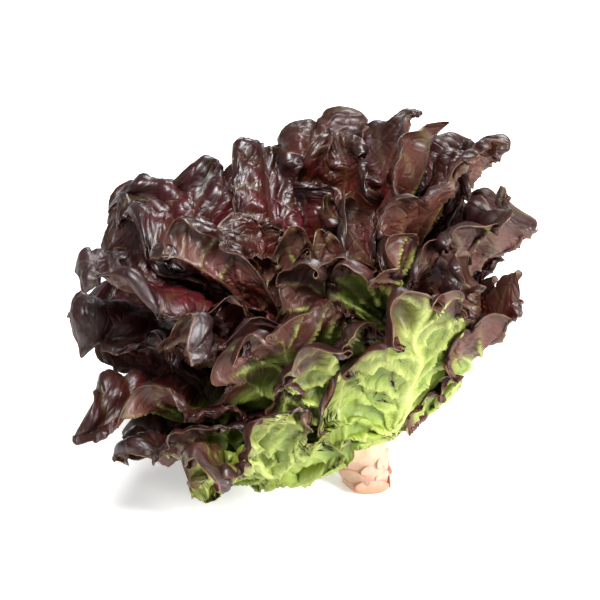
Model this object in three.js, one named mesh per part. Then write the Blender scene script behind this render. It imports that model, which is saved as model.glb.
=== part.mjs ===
// Head of loose-leaf red lettuce: a cut stem and its leaves, standing on the cut end.
// Millimetres, +Z up, origin at the middle of the footprint on the table.
//
// Every leaf is a thin closed plate on its own layer. A layer is a curved sheet that
// starts on the stem and opens outwards; layers never cross, so neither do the leaves.
import * as THREE from 'three';

const { clamp, degToRad, lerp } = THREE.MathUtils;
const TURN = 2 * Math.PI;

// ---- stem ----
const STEM_RADIUS = 16;        // where the lowest leaves join it
const FOOT_RADIUS = 14.5;      // at the cut end
const FOOT_BEVEL = 2;          // worn edge of the cut
const LOWEST_LEAF = 34;        // height of the lowest leaf base along the stem
const CROWN_HEIGHT = 88;       // height of the innermost leaf base
const CROWN_TAPER = 12;        // radius lost between the lowest leaf and the crown
const DOME_HEIGHT = 5;         // rounded tip above the innermost leaf base
const DOME_RING = [0.7, 0.6];  // height and radius of its ring, as shares
const STEM_SWELL = 0.5;        // share of the bare height over which the foot widens
const SWELL_LEFT = 0.6;        // radius still to come there
const CROWN_RINGS = 6;
const STEM_SIDES = 28;

// ---- how the head stands ----
const LEAN_LEFT = 8;           // of the stem
const BEND_LEFT = 10;          // further lean gained between BEND_FROM and BEND_TO
const BEND_FROM = 25;
const BEND_TO = 150;
const LEAN_BACK = 3;
const FLOOR_EASE = 13;         // leaves lower than this bend to lie along the table

// ---- how the layers open, in degrees from the axis; layer 0 innermost, 1 outermost ----
const OPEN_INNERMOST = 3;
const OPEN_BASE = 65;          // of layer 1 where it leaves the stem
const OPEN_BASE_LOW = 46;      // added on the side where the head rests on its leaves
const LOW_AZIMUTH = degToRad(-159);
const LOW_POWER = 5;
const OPEN_BLADE = 52;         // of layer 1 from BLADE_REACH on
const OPEN_BLADE_FRONT = -28;
const FRONT_AZIMUTH = degToRad(-72);
const FRONT_POWER = 3;
const OPEN_BLADE_LEFT = 14;
const LEFT_AZIMUTH = degToRad(-172);
const LEFT_POWER = 2;
const BLADE_REACH = 85;
const LAYER_POWER = 1.15;
const BEND_START = 90;         // free ends bend outwards past this reach
const BEND_BACK = 60;          // degrees per 100 mm
const BEND_FRONT = 17;
const BEND_INNER = 12;
const BEND_POWER = 1.4;

// ---- leaf sizes by layer, and by the side that a leaf grows on ----
const LAYER_STOPS = [0, 0.1, 0.3, 0.55, 0.8, 1];
const LEAF_LENGTHS = [48, 82, 147, 189, 174, 176];
const LEAF_WIDTHS = [17, 26, 44, 58, 62, 60];       // half widths
const BASE_HALF_WIDTH = 9;
const BASE_WRAP = 0.75;        // most a base may reach round the stem each way, in radians
const LEAF_THICKNESS = 0.9;
const MIDRIB_EXTRA = 0.3;      // added along the midrib near the base
const MIDRIB_SPREAD = 3;       // the midrib ends at this part of the half width
const MIDRIB_START = 0.3;
const STEM_GAP = 0.5;          // clear space between a leaf base and the stem
const LONGER_LEFT = 0.1;
const SHORTER_RIGHT = 0.11;
const LONGER_BACK = 0.05;
const SHORTER_FRONT = 0.24;    // of the innermost leaves, less further out
const FRONT_KEPT = 0.3;
const SHORTER_FRONT_LEFT = 0.1;
const FRONT_LEFT_AZIMUTH = degToRad(-138);
const FRONT_LEFT_POWER = 4;
const FIXED_WIDTH = 0.6;       // share of a leaf's width that doesn't follow its length

// ---- leaf outline ----
const ROUND_END = 0.32;        // share of the length lost at the sides
const ROUND_POWER = 2.2;
const SHOULDER_START = 0.03;   // the blade widens between these shares of its length
const SHOULDER_END = 0.6;
const CAP_START = 0.55;
const CAP_NARROWING = 0.22;
const SPREAD_CORE = 32;        // keeps inner leaves from wrapping right round the axis
const SPREAD_START = 0.3;

// ---- ruffled edges ----
const RUFFLE_HEIGHT = 11;
const RUFFLE_LENGTH = 40;      // from one crest to the next along the edge
const RUFFLE_FINE = 0.35;      // share of the smaller ruffles
const RUFFLE_FINE_PACE = 0.93;
const RUFFLE_DRIFT = 0.8;      // how unevenly crests are spaced
const EDGE_ROUND = 0.62;       // length of the edge per turn round the blade's heart, over the leaf's length
const BLADE_HEART = 0.25;      // share of the length where that turn is centred
const EDGE_ACROSS = 0.25;      // ruffles grow from this share of the width outwards
const EDGE_ALONG = 0.55;
const RUFFLE_FROM = 20;        // no ruffles below this reach, full ones from RUFFLE_FULL
const RUFFLE_FULL = 90;
const ROOM_SHARE = 0.45;       // part of the free space a leaf may lean into
const LEAST_ROOM = 1e-4;
const LAYER_NUDGE = 0.01;
const ROOM_GROWTH = 0.5;       // free space gained per millimetre past another leaf's edge
const EDGE_MARGIN = 9;         // counted as part of that leaf
const MOST_ROOM = 60;

// ---- mesh of one leaf ----
const COLUMNS = 9;
const ROWS = 8;
const FACET_SAG = 1.2;         // how far a facet cuts inside a bend where it is SAG_LENGTH long
const SAG_LENGTH = 23.625;
const FACET_LENGTH = Math.max(...LEAF_LENGTHS) / ROWS;
// free space that keeps plates and their facets apart
const CLEARANCE = 2 * LEAF_THICKNESS + FACET_SAG * (FACET_LENGTH / SAG_LENGTH) ** 2;
const PATH_STEPS = 12;
const INVERSE_ROUNDS = 5;

const GOLDEN_ANGLE = 137.508;

// azimuth (0 right, 90 back), layer, length factor, width factor
const OUTER_LEAVES = [
  [-122, 0.99, 1.1, 0.86],
  [-90, 0.84, 1.0, 0.8],
  [-60, 0.94, 1.05, 0.95],
  [-38, 0.89, 1.0, 0.8],
  [-14, 0.99, 0.9, 0.9],
  [22, 0.84, 0.93, 0.95],
  [55, 0.94, 0.9, 1.0],
  [88, 0.89, 0.95, 1.0],
  [120, 0.99, 0.9, 1.0],
  [152, 0.84, 0.9, 1.0],
  [-174, 0.94, 0.7, 0.95],
  [-148, 0.89, 0.9, 0.95],
];
// name, number of leaves, first azimuth, first and last layer, colour
const SPIRALS = [
  ['middle_leaf', 14, -158, 0.79, 0.47, 0x6e3f34],
  ['inner_leaf', 10, 11, 0.44, 0.2, 0x5a2b33],
  ['heart_leaf', 5, -88, 0.165, 0.0, 0xa3b04a],
];
const PHASE_STEP = 1.9;        // ruffles of one outer leaf against the next
const SPIRAL_PHASE_STEP = 2.3;
const OUTER_COLOUR = 0x93a346;
const STEM_COLOUR = 0xe6d5c0;
const LENGTH_VARIATION = [0.07, 2.1];    // share, and its step from leaf to leaf
const WIDTH_VARIATION = [0.08, 1.3];

// push that all leaves share: direction of travel, direction of push, wavelength, push, phase
const SHARED_WAVES = [
  [[0.3, 0.8, 0.5], [0.9, -0.3, 0.1], 112, 6.0, 0.3],
  [[0.8, -0.2, 0.6], [0.1, 0.9, 0.3], 92, 4.6, 1.7],
  [[-0.4, 0.5, 0.8], [0.7, 0.6, -0.2], 76, 2.8, 2.9],
];
const STILL_RADIUS = 18;       // no shared push this close to the axis
const FREE_RADIUS = 78;        // full shared push from here outwards

function ease(x, from, to) {
  const t = clamp((x - from) / (to - from), 0, 1);
  return t * t * (3 - 2 * t);
}

function fromStops(x, stops, values) {
  let i = 1;
  while (i < stops.length - 1 && x > stops[i]) i += 1;
  const t = clamp((x - stops[i - 1]) / (stops[i] - stops[i - 1]), 0, 1);
  return lerp(values[i - 1], values[i], t);
}

// ---- the layers ----

function stemRadius(layer) {
  const t = clamp(1 - layer, 0, 1);
  return STEM_RADIUS - CROWN_TAPER * t * t;
}

function baseHeight(layer) {
  return lerp(CROWN_HEIGHT, LOWEST_LEAF, layer);
}

function towards(azimuth, favoured) {
  return (1 + Math.cos(azimuth - favoured)) / 2;
}

function opening(azimuth, reach, layer) {
  const left = OPEN_BLADE_LEFT * towards(azimuth, LEFT_AZIMUTH) ** LEFT_POWER * layer;
  const front = OPEN_BLADE_FRONT * towards(azimuth, FRONT_AZIMUTH) ** FRONT_POWER;
  const base = OPEN_BASE + OPEN_BASE_LOW * towards(azimuth, LOW_AZIMUTH) ** LOW_POWER;
  return lerp(base, OPEN_BLADE + front + left, ease(reach, 0, BLADE_REACH));
}

function slope(azimuth, reach, layer) {
  const share = Math.max(0, layer) ** LAYER_POWER;
  const mean = OPEN_INNERMOST + (opening(azimuth, reach, layer) - OPEN_INNERMOST) * share;
  const front = (1 - Math.sin(azimuth)) / 2;
  const bend = BEND_BACK + BEND_FRONT * front + BEND_INNER * clamp(1 - layer, 0, 1);
  const late = Math.max(0, reach - BEND_START) / 100;
  return degToRad(mean + bend * late ** BEND_POWER);
}

// distance from the axis and height of a point on a layer
function onLayer(azimuth, reach, layer) {
  const step = reach / PATH_STEPS;
  let radius = stemRadius(layer) + STEM_GAP + LEAF_THICKNESS;
  let height = baseHeight(layer);
  for (let i = 0; i < PATH_STEPS; i += 1) {
    const angle = slope(azimuth, (i + 0.5) * step, layer);
    radius += Math.sin(angle) * step;
    height += Math.cos(angle) * step;
  }
  return [radius, height];
}

// ---- leaf outline: u across from -1 to 1, v along from 0 to 1 ----

function halfWidth(leaf, v) {
  const base = Math.min(BASE_HALF_WIDTH, BASE_WRAP * stemRadius(leaf.layer)) / leaf.width;
  const body = lerp(base, 1, ease(v, SHOULDER_START, SHOULDER_END));
  const end = Math.max(0, (v - CAP_START) / (1 - CAP_START));
  return leaf.width * body * Math.sqrt(1 - CAP_NARROWING * end * end);
}

function reachAt(leaf, u, v) {
  return leaf.length * v * (1 - ROUND_END * Math.abs(u) ** ROUND_POWER);
}

function spreadRadius(leaf, reach, v) {
  const [radius] = onLayer(leaf.azimuth, reach, leaf.layer);
  return Math.hypot(radius, SPREAD_CORE * Math.sqrt(ease(v, 0, SPREAD_START)));
}

// u and v of a point given by azimuth and reach
function outlineAt(leaf, turn, reach) {
  const share = reach / leaf.length;
  let v = share;
  let u = 0;
  for (let i = 0; i < INVERSE_ROUNDS; i += 1) {
    const inside = Math.min(v, 1);
    u = turn * spreadRadius(leaf, reach, inside) / halfWidth(leaf, inside);
    v = share / (1 - ROUND_END * Math.min(1, Math.abs(u)) ** ROUND_POWER);
  }
  return [u, v];
}

function turnBetween(from, to) {
  return THREE.MathUtils.euclideanModulo(to - from + Math.PI, TURN) - Math.PI;
}

// free millimetres inwards and outwards of a point of one leaf
function roomAt(leaf, leaves, azimuth, reach, depth) {
  const room = { inwards: MOST_ROOM, outwards: MOST_ROOM };
  for (const other of leaves) {
    if (other === leaf) continue;
    const turn = turnBetween(other.azimuth, azimuth);
    const [u, v] = outlineAt(other, turn, reach);
    const side = Math.max(0, Math.abs(u) - 1) * halfWidth(other, Math.min(v, 1));
    const past = Math.max(0, Math.hypot(side, Math.max(0, v - 1) * other.length) - EDGE_MARGIN);
    const gap = (other.layer - leaf.layer) * depth;
    const way = gap > 0 ? 'outwards' : 'inwards';
    room[way] = Math.min(room[way], Math.abs(gap) + past * ROOM_GROWTH);
  }
  return room;
}

function ruffle(leaf, u, v, reach) {
  const edge = 1 - (1 - ease(Math.abs(u), EDGE_ACROSS, 1)) * (1 - ease(v, EDGE_ALONG, 1));
  const angle = Math.atan2(u * halfWidth(leaf, v), reach - BLADE_HEART * leaf.length);
  const waves = TURN * EDGE_ROUND * leaf.length / RUFFLE_LENGTH;
  const drift = RUFFLE_DRIFT * Math.sin(3 * angle + 2 * leaf.phase);
  const main = Math.sin(angle * waves / 2 + leaf.phase + drift);
  const fine = RUFFLE_FINE * Math.sin(angle * waves * RUFFLE_FINE_PACE + 3 * leaf.phase);
  return RUFFLE_HEIGHT * edge * (main + fine) * ease(reach, RUFFLE_FROM, RUFFLE_FULL);
}

function sharedPush(point) {
  const hold = ease(Math.hypot(point.x, point.y), STILL_RADIUS, FREE_RADIUS);
  const moved = point.clone();
  for (const [travel, push, wavelength, size, phase] of SHARED_WAVES) {
    const along = point.dot(new THREE.Vector3(...travel).normalize());
    const amount = size * hold * Math.sin(along * TURN / wavelength + phase);
    moved.addScaledVector(new THREE.Vector3(...push).normalize(), amount);
  }
  return moved;
}

// The axis of the head leans to the left, more so above the stem, and a little back.
const FIRST = degToRad(LEAN_LEFT);
const BACK = new THREE.Matrix4().makeRotationX(-degToRad(LEAN_BACK));
const AXIS = new THREE.Vector3(-Math.sin(FIRST), 0, Math.cos(FIRST)).applyMatrix4(BACK);

function lean(point) {
  const curvature = degToRad(BEND_LEFT) / (BEND_TO - BEND_FROM);
  const straight = Math.min(point.z, BEND_FROM);
  const angle = FIRST + curvature * clamp(point.z - BEND_FROM, 0, BEND_TO - BEND_FROM);
  const beyond = Math.max(0, point.z - BEND_TO);
  const [sine, cosine] = [Math.sin(angle), Math.cos(angle)];
  const x = (cosine - Math.cos(FIRST)) / curvature - Math.sin(FIRST) * straight - sine * beyond;
  const z = (sine - Math.sin(FIRST)) / curvature + Math.cos(FIRST) * straight + cosine * beyond;
  return new THREE.Vector3(x + point.x * cosine, point.y, z + point.x * sine).applyMatrix4(BACK);
}

function alongTable(point) {
  if (point.z < FLOOR_EASE) point.z = FLOOR_EASE * Math.exp((point.z - FLOOR_EASE) / FLOOR_EASE);
  return point;
}

// millimetres between two layers that differ by one
function layerDepth(azimuth, reach, layer) {
  const near = onLayer(azimuth, reach, layer - LAYER_NUDGE);
  const far = onLayer(azimuth, reach, layer + LAYER_NUDGE);
  return Math.hypot(far[0] - near[0], far[1] - near[1]) / (2 * LAYER_NUDGE);
}

function leafPoint(leaf, leaves, u, v) {
  const reach = reachAt(leaf, u, v);
  const turn = u * halfWidth(leaf, v) / spreadRadius(leaf, reach, v);
  const azimuth = leaf.azimuth + turn;
  const depth = layerDepth(azimuth, reach, leaf.layer);
  const room = roomAt(leaf, leaves, azimuth, reach, depth);
  const wish = ruffle(leaf, u, v, reach);
  const free = (wish > 0 ? room.outwards : room.inwards) - CLEARANCE;
  const limit = ROOM_SHARE * Math.max(free, LEAST_ROOM);
  const layer = leaf.layer + limit * Math.tanh(wish / limit) / depth;
  const [radius, height] = onLayer(azimuth, reach, layer);
  const point = new THREE.Vector3(radius * Math.cos(azimuth), radius * Math.sin(azimuth), height);
  return alongTable(lean(sharedPush(point)));
}

// ---- solids ----

function gridNormal(grid, row, column) {
  const up = grid[Math.min(row + 1, ROWS)][column].clone().sub(grid[Math.max(row - 1, 0)][column]);
  const line = grid[row];
  const over = line[Math.min(column + 1, COLUMNS)].clone().sub(line[Math.max(column - 1, 0)]);
  return over.cross(up).normalize();
}

function plate(grid, thickness) {
  const points = [];
  for (const side of [1, -1]) {
    for (let row = 0; row <= ROWS; row += 1) {
      for (let column = 0; column <= COLUMNS; column += 1) {
        const offset = side * thickness(row / ROWS, 2 * column / COLUMNS - 1) / 2;
        points.push(grid[row][column].clone().addScaledVector(gridNormal(grid, row, column), offset));
      }
    }
  }
  return solid(points, plateFaces());
}

function plateFaces() {
  const width = COLUMNS + 1;
  const back = width * (ROWS + 1);
  const at = (row, column) => row * width + column;
  const faces = [];
  for (let row = 0; row < ROWS; row += 1) {
    for (let column = 0; column < COLUMNS; column += 1) {
      const [a, b] = [at(row, column), at(row, column + 1)];
      const [c, d] = [at(row + 1, column + 1), at(row + 1, column)];
      faces.push([a, b, c], [a, c, d], [a + back, c + back, b + back], [a + back, d + back, c + back]);
    }
  }
  const rim = [];
  for (let column = 0; column < COLUMNS; column += 1) rim.push(at(0, column));
  for (let row = 0; row < ROWS; row += 1) rim.push(at(row, COLUMNS));
  for (let column = COLUMNS; column > 0; column -= 1) rim.push(at(ROWS, column));
  for (let row = ROWS; row > 0; row -= 1) rim.push(at(row, 0));
  rim.forEach((here, i) => {
    const next = rim[(i + 1) % rim.length];
    faces.push([here, here + back, next + back], [here, next + back, next]);
  });
  return faces;
}

function solid(points, faces) {
  const geometry = new THREE.BufferGeometry();
  const places = points.flatMap((point) => point.toArray());
  geometry.setAttribute('position', new THREE.Float32BufferAttribute(places, 3));
  geometry.setIndex(faces.flat());
  geometry.computeVertexNormals();
  return geometry;
}

function thicknessAt(v, u) {
  const midrib = Math.max(0, 1 - MIDRIB_SPREAD * Math.abs(u)) * (1 - v) * ease(v, 0, MIDRIB_START);
  return LEAF_THICKNESS + MIDRIB_EXTRA * midrib;
}

function leafSolid(leaf, leaves) {
  const grid = [];
  for (let row = 0; row <= ROWS; row += 1) {
    const line = [];
    for (let column = 0; column <= COLUMNS; column += 1) {
      line.push(leafPoint(leaf, leaves, 2 * column / COLUMNS - 1, row / ROWS));
    }
    grid.push(line);
  }
  return plate(grid, thicknessAt);
}

// height along the axis and radius of the rings of the stem, from the foot up
function stemRings() {
  const rings = [[0, FOOT_RADIUS - FOOT_BEVEL], [FOOT_BEVEL, FOOT_RADIUS]];
  rings.push([LOWEST_LEAF * STEM_SWELL, STEM_RADIUS - SWELL_LEFT]);
  for (let i = 0; i <= CROWN_RINGS; i += 1) {
    const layer = 1 - i / CROWN_RINGS;
    rings.push([baseHeight(layer), stemRadius(layer)]);
  }
  rings.push([CROWN_HEIGHT + DOME_RING[0] * DOME_HEIGHT, DOME_RING[1] * stemRadius(0)]);
  return rings;
}

function stemSolid() {
  const rings = stemRings();
  const points = [];
  rings.forEach(([height, radius]) => {
    for (let i = 0; i < STEM_SIDES; i += 1) {
      const turn = TURN * i / STEM_SIDES;
      const point = lean(new THREE.Vector3(radius * Math.cos(turn), radius * Math.sin(turn), height));
      const lift = Math.max(0, 1 - height / LOWEST_LEAF) * (height * AXIS.z - point.z) / AXIS.z;
      points.push(point.addScaledVector(AXIS, lift));
    }
  });
  const faces = [];
  for (let ring = 0; ring < rings.length - 1; ring += 1) {
    for (let i = 0; i < STEM_SIDES; i += 1) {
      const a = ring * STEM_SIDES + i;
      const b = ring * STEM_SIDES + (i + 1) % STEM_SIDES;
      faces.push([a, b, b + STEM_SIDES], [a, b + STEM_SIDES, a + STEM_SIDES]);
    }
  }
  const foot = points.push(new THREE.Vector3(0, 0, 0)) - 1;
  const tip = points.push(lean(new THREE.Vector3(0, 0, CROWN_HEIGHT + DOME_HEIGHT))) - 1;
  const last = (rings.length - 1) * STEM_SIDES;
  for (let i = 0; i < STEM_SIDES; i += 1) {
    const next = (i + 1) % STEM_SIDES;
    faces.push([foot, next, i], [last + i, last + next, tip]);
  }
  return solid(points, faces);
}

// ---- the head ----

// length of a leaf over that of its layer, by the side it grows on
function sideFactor(azimuth, layer) {
  const [right, back] = [Math.cos(azimuth), Math.sin(azimuth)];
  const left = LONGER_LEFT * Math.max(0, -right) - SHORTER_RIGHT * Math.max(0, right);
  const front = SHORTER_FRONT * Math.max(0, -back) * (1 - FRONT_KEPT * layer);
  const corner = SHORTER_FRONT_LEFT * towards(azimuth, FRONT_LEFT_AZIMUTH) ** FRONT_LEFT_POWER;
  return 1 + left + LONGER_BACK * Math.max(0, back) - front - corner;
}

function sizedLeaf(name, degrees, layer, lengthFactor, widthFactor, colour, phase) {
  const azimuth = degToRad(degrees);
  const factor = sideFactor(azimuth, layer);
  const width = FIXED_WIDTH + (1 - FIXED_WIDTH) * factor;
  return {
    name, colour, phase, layer, azimuth,
    length: fromStops(layer, LAYER_STOPS, LEAF_LENGTHS) * factor * lengthFactor,
    width: fromStops(layer, LAYER_STOPS, LEAF_WIDTHS) * width * widthFactor,
  };
}

function numbered(name, index) {
  return `${name}_${String(index + 1).padStart(2, '0')}`;
}

function varied([share, step], index) {
  return 1 + share * Math.sin(step * index);
}

function allLeaves() {
  const leaves = OUTER_LEAVES.map(([azimuth, layer, length, width], i) => sizedLeaf(
    numbered('outer_leaf', i), azimuth, layer, length, width, OUTER_COLOUR, PHASE_STEP * i));
  for (const [name, count, first, start, end, colour] of SPIRALS) {
    for (let i = 0; i < count; i += 1) {
      const layer = lerp(start, end, i / (count - 1));
      leaves.push(sizedLeaf(numbered(name, i), first + GOLDEN_ANGLE * i, layer,
        varied(LENGTH_VARIATION, i), varied(WIDTH_VARIATION, i), colour, SPIRAL_PHASE_STEP * i));
    }
  }
  return leaves;
}

function mesh(name, geometry, colour) {
  const material = new THREE.MeshStandardMaterial({ color: colour, roughness: 0.5, metalness: 0 });
  const made = new THREE.Mesh(geometry, material);
  made.name = name;
  return made;
}

function head() {
  const leaves = allLeaves();
  const group = new THREE.Group();
  group.name = 'lettuce_head';
  group.add(mesh('stem', stemSolid(), STEM_COLOUR));
  for (const leaf of leaves) group.add(mesh(leaf.name, leafSolid(leaf, leaves), leaf.colour));
  const box = new THREE.Box3().setFromObject(group, true);
  const middle = box.getCenter(new THREE.Vector3());
  for (const part of group.children) part.geometry.translate(-middle.x, -middle.y, -box.min.z);
  return group;
}

export default head();
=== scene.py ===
"""Head of red loose-leaf lettuce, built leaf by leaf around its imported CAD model.

Every leaf is a thin closed sheet on the same curved layer as its CAD plate, with its folds,
blisters, midrib and side veins added. All lengths in the formulas are millimetres until a
mesh is made, which is in metres.
"""
import math

import bpy
import numpy as np
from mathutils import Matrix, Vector


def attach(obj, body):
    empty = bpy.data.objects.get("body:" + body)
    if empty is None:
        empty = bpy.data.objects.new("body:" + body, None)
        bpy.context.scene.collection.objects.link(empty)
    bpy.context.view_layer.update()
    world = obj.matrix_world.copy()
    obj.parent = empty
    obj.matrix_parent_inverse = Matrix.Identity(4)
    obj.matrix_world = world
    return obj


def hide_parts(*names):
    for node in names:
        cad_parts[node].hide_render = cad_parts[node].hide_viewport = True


bl_info = {
    "name": "Red Lettuce Head",
    "version": (1, 0, 0),
    "blender": (4, 5, 0),
    "location": "View3D > Sidebar > Lettuce",
    "description": "Makes the leaves, the stem and the stage of a head of red lettuce",
    "category": "Object",
}

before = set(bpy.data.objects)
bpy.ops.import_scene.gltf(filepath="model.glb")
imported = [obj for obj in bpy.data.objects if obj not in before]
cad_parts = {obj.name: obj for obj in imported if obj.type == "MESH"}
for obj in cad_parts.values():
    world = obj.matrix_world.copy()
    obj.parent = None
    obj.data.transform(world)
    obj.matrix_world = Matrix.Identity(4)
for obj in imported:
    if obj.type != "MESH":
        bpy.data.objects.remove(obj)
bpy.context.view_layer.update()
MM = 0.001
TURN = 2 * math.pi
GOLDEN_ANGLE = 137.508


# ---------------------------------------------------------------- the layers of the head

STEM_RADIUS = 16.0
FOOT_RADIUS = 14.5
FOOT_BEVEL = 2.0
LOWEST_LEAF = 34.0
CROWN_HEIGHT = 88.0
CROWN_TAPER = 12.0
DOME_HEIGHT = 5.0
STEM_GAP = 0.5
PLATE = 0.9                 # thickness of a leaf in the CAD model
PATH_STEPS = 12
LAYER_NUDGE = 0.01

LEAN_LEFT = 8.0
BEND_LEFT = 10.0
BEND_FROM = 25.0
BEND_TO = 150.0
LEAN_BACK = 3.0
FLOOR_EASE = 13.0

LAYER_STOPS = [0, 0.1, 0.3, 0.55, 0.8, 1]
LEAF_LENGTHS = [48, 82, 147, 189, 174, 176]
LEAF_WIDTHS = [17, 26, 44, 58, 62, 60]
BASE_HALF_WIDTH = 9.0
BASE_WRAP = 0.75
ROUND_END = 0.32
ROUND_POWER = 2.2
SHOULDER_START = 0.03
SHOULDER_END = 0.6
CAP_START = 0.55
CAP_NARROWING = 0.22
SPREAD_CORE = 32.0
SPREAD_START = 0.3
LONGER_LEFT = 0.1
SHORTER_RIGHT = 0.11
LONGER_BACK = 0.05
SHORTER_FRONT = 0.24
FRONT_KEPT = 0.3
SHORTER_FRONT_LEFT = 0.1
FRONT_LEFT_POWER = 4
FIXED_WIDTH = 0.6
INVERSE_ROUNDS = 5

RUFFLE_LENGTH = 40
RUFFLE_FINE = 0.35
RUFFLE_FINE_PACE = 0.93
RUFFLE_DRIFT = 0.8
EDGE_ROUND = 0.62
BLADE_HEART = 0.25
EDGE_ACROSS = 0.25
EDGE_ALONG = 0.55
RUFFLE_FROM = 20
RUFFLE_FULL = 90

OPEN_BASE = 65.0
OPEN_BASE_LOW = 46.0
OPEN_BLADE = 52.0
OPEN_BLADE_FRONT = -28.0
OPEN_BLADE_LEFT = 14.0
FRONT_POWER = 3
LEFT_POWER = 2
BLADE_REACH = 85.0
FRONT_AZIMUTH = math.radians(-72)
LEFT_AZIMUTH = math.radians(-172)
FRONT_LEFT_AZIMUTH = math.radians(-138)
LOW_AZIMUTH = math.radians(-159)
LOW_POWER = 5
OPEN_INNERMOST = 3.0
LAYER_POWER = 1.15
BEND_START = 90.0
BEND_BACK = 60.0
BEND_FRONT = 17.0
BEND_INNER = 12.0
BEND_POWER = 1.4

# azimuth (0 right, 90 back), layer, length factor, width factor
OUTER_LEAVES = [
    (-122, 0.99, 1.1, 0.86),
    (-90, 0.84, 1.0, 0.8),
    (-60, 0.94, 1.05, 0.95),
    (-38, 0.89, 1.0, 0.8),
    (-14, 0.99, 0.9, 0.9),
    (22, 0.84, 0.93, 0.95),
    (55, 0.94, 0.9, 1.0),
    (88, 0.89, 0.95, 1.0),
    (120, 0.99, 0.9, 1.0),
    (152, 0.84, 0.9, 1.0),
    (-174, 0.94, 0.7, 0.95),
    (-148, 0.89, 0.9, 0.95),
]
# group, number of leaves, first azimuth, first and last layer
SPIRALS = [
    ("middle_leaf", 14, -158, 0.79, 0.47),
    ("inner_leaf", 10, 11, 0.44, 0.2),
    ("heart_leaf", 5, -88, 0.165, 0.0),
]
LENGTH_VARIATION = (0.07, 2.1)     # share, and its step from leaf to leaf
WIDTH_VARIATION = (0.08, 1.3)
PHASE_STEP = 1.9
SPIRAL_PHASE_STEP = 2.3

# where red starts along a leaf: at the back, how much further out at the front, and its variation
RED_START = {"outer_leaf": (0.42, 0.5, 0.2), "middle_leaf": (0.4, 0.25, 0.62),
             "inner_leaf": (0.36, 0.15, 0.62), "heart_leaf": (0.85, 0.0, 0.62)}
GREENEST_AZIMUTH = math.radians(-102)
# rows and columns of a leaf's mesh
GRIDS = {"outer_leaf": (118, 84), "middle_leaf": (124, 86), "inner_leaf": (104, 66), "heart_leaf": (60, 40)}

SHARED_WAVES = [
    ((0.3, 0.8, 0.5), (0.9, -0.3, 0.1), 112, 6.0, 0.3),
    ((0.8, -0.2, 0.6), (0.1, 0.9, 0.3), 92, 4.6, 1.7),
    ((-0.4, 0.5, 0.8), (0.7, 0.6, -0.2), 76, 2.8, 2.9),
]
STILL_RADIUS = 18.0
FREE_RADIUS = 78.0
BASE_OF_FOLDS = 45.0            # height that the shorter folds start from
FOLDS_FROM = 30
FOLDS_FULL = 80
# shorter folds that neighbouring leaves share, each pushed square to its travel
CRUMPLE_WAVES = [
    ((0.62, 0.3, 0.73), (-0.35, 0.94, -0.09), 47, 3.8, 0.7),
    ((-0.5, 0.8, 0.33), (0.75, 0.25, 0.53), 41, 3.3, 2.2),
    ((0.15, -0.55, 0.82), (0.9, 0.4, 0.1), 36, 2.7, 4.0),
    ((0.9, 0.42, -0.1), (0.1, 0.03, 1.0), 53, 3.6, 5.1),
]


def ease(x, start, end):
    t = np.clip((x - start) / (end - start), 0, 1)
    return t * t * (3 - 2 * t)


def towards(azimuth, favoured):
    return (1 + np.cos(azimuth - favoured)) / 2


def stem_radius(layer):
    t = np.clip(1 - layer, 0, 1)
    return STEM_RADIUS - CROWN_TAPER * t * t


def base_height(layer):
    return CROWN_HEIGHT + (LOWEST_LEAF - CROWN_HEIGHT) * layer


def opening(azimuth, reach, layer):
    left = towards(azimuth, LEFT_AZIMUTH) ** LEFT_POWER
    base = OPEN_BASE + OPEN_BASE_LOW * towards(azimuth, LOW_AZIMUTH) ** LOW_POWER
    blade = (OPEN_BLADE + OPEN_BLADE_FRONT * towards(azimuth, FRONT_AZIMUTH) ** FRONT_POWER
             + OPEN_BLADE_LEFT * left * layer)
    return base + (blade - base) * ease(reach, 0, BLADE_REACH)


def slope(azimuth, reach, layer):
    share = np.maximum(0, layer) ** LAYER_POWER
    mean = OPEN_INNERMOST + (opening(azimuth, reach, layer) - OPEN_INNERMOST) * share
    bend = BEND_BACK + BEND_FRONT * (1 - np.sin(azimuth)) / 2 + BEND_INNER * np.clip(1 - layer, 0, 1)
    late = np.maximum(0, reach - BEND_START) / 100
    return np.radians(mean + bend * late ** BEND_POWER)


def on_layer(azimuth, reach, layer):
    """Distance from the axis and height of a point on a layer."""
    step = reach / PATH_STEPS
    radius = stem_radius(layer) + STEM_GAP + PLATE + np.zeros_like(reach)
    height = base_height(layer) + np.zeros_like(reach)
    for i in range(PATH_STEPS):
        angle = slope(azimuth, (i + 0.5) * step, layer)
        radius = radius + np.sin(angle) * step
        height = height + np.cos(angle) * step
    return radius, height


def layer_depth(azimuth, reach, layer):
    """Millimetres between two layers that differ by one."""
    near, far = (on_layer(azimuth, reach, layer + nudge) for nudge in (-LAYER_NUDGE, LAYER_NUDGE))
    return np.hypot(far[0] - near[0], far[1] - near[1]) / (2 * LAYER_NUDGE)


def shared_push(points):
    """Folds that all the leaves follow together, so that none runs into the next."""
    hold = ease(np.hypot(points[..., 0], points[..., 1]), STILL_RADIUS, FREE_RADIUS)
    moved = points.copy()
    for travel, push, wavelength, size, phase in SHARED_WAVES:
        along = points @ (np.array(travel) / np.linalg.norm(travel))
        amount = size * hold * np.sin(along * TURN / wavelength + phase)
        moved += amount[..., None] * (np.array(push) / np.linalg.norm(push))
    hold = ease(np.linalg.norm(points - [0, 0, BASE_OF_FOLDS], axis=-1), FOLDS_FROM, FOLDS_FULL)
    for travel, push, wavelength, size, phase in CRUMPLE_WAVES:
        along = points @ np.array(travel)
        amount = size * hold * np.sin(along * TURN / wavelength + phase)
        moved += amount[..., None] * np.array(push)
    return moved


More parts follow.
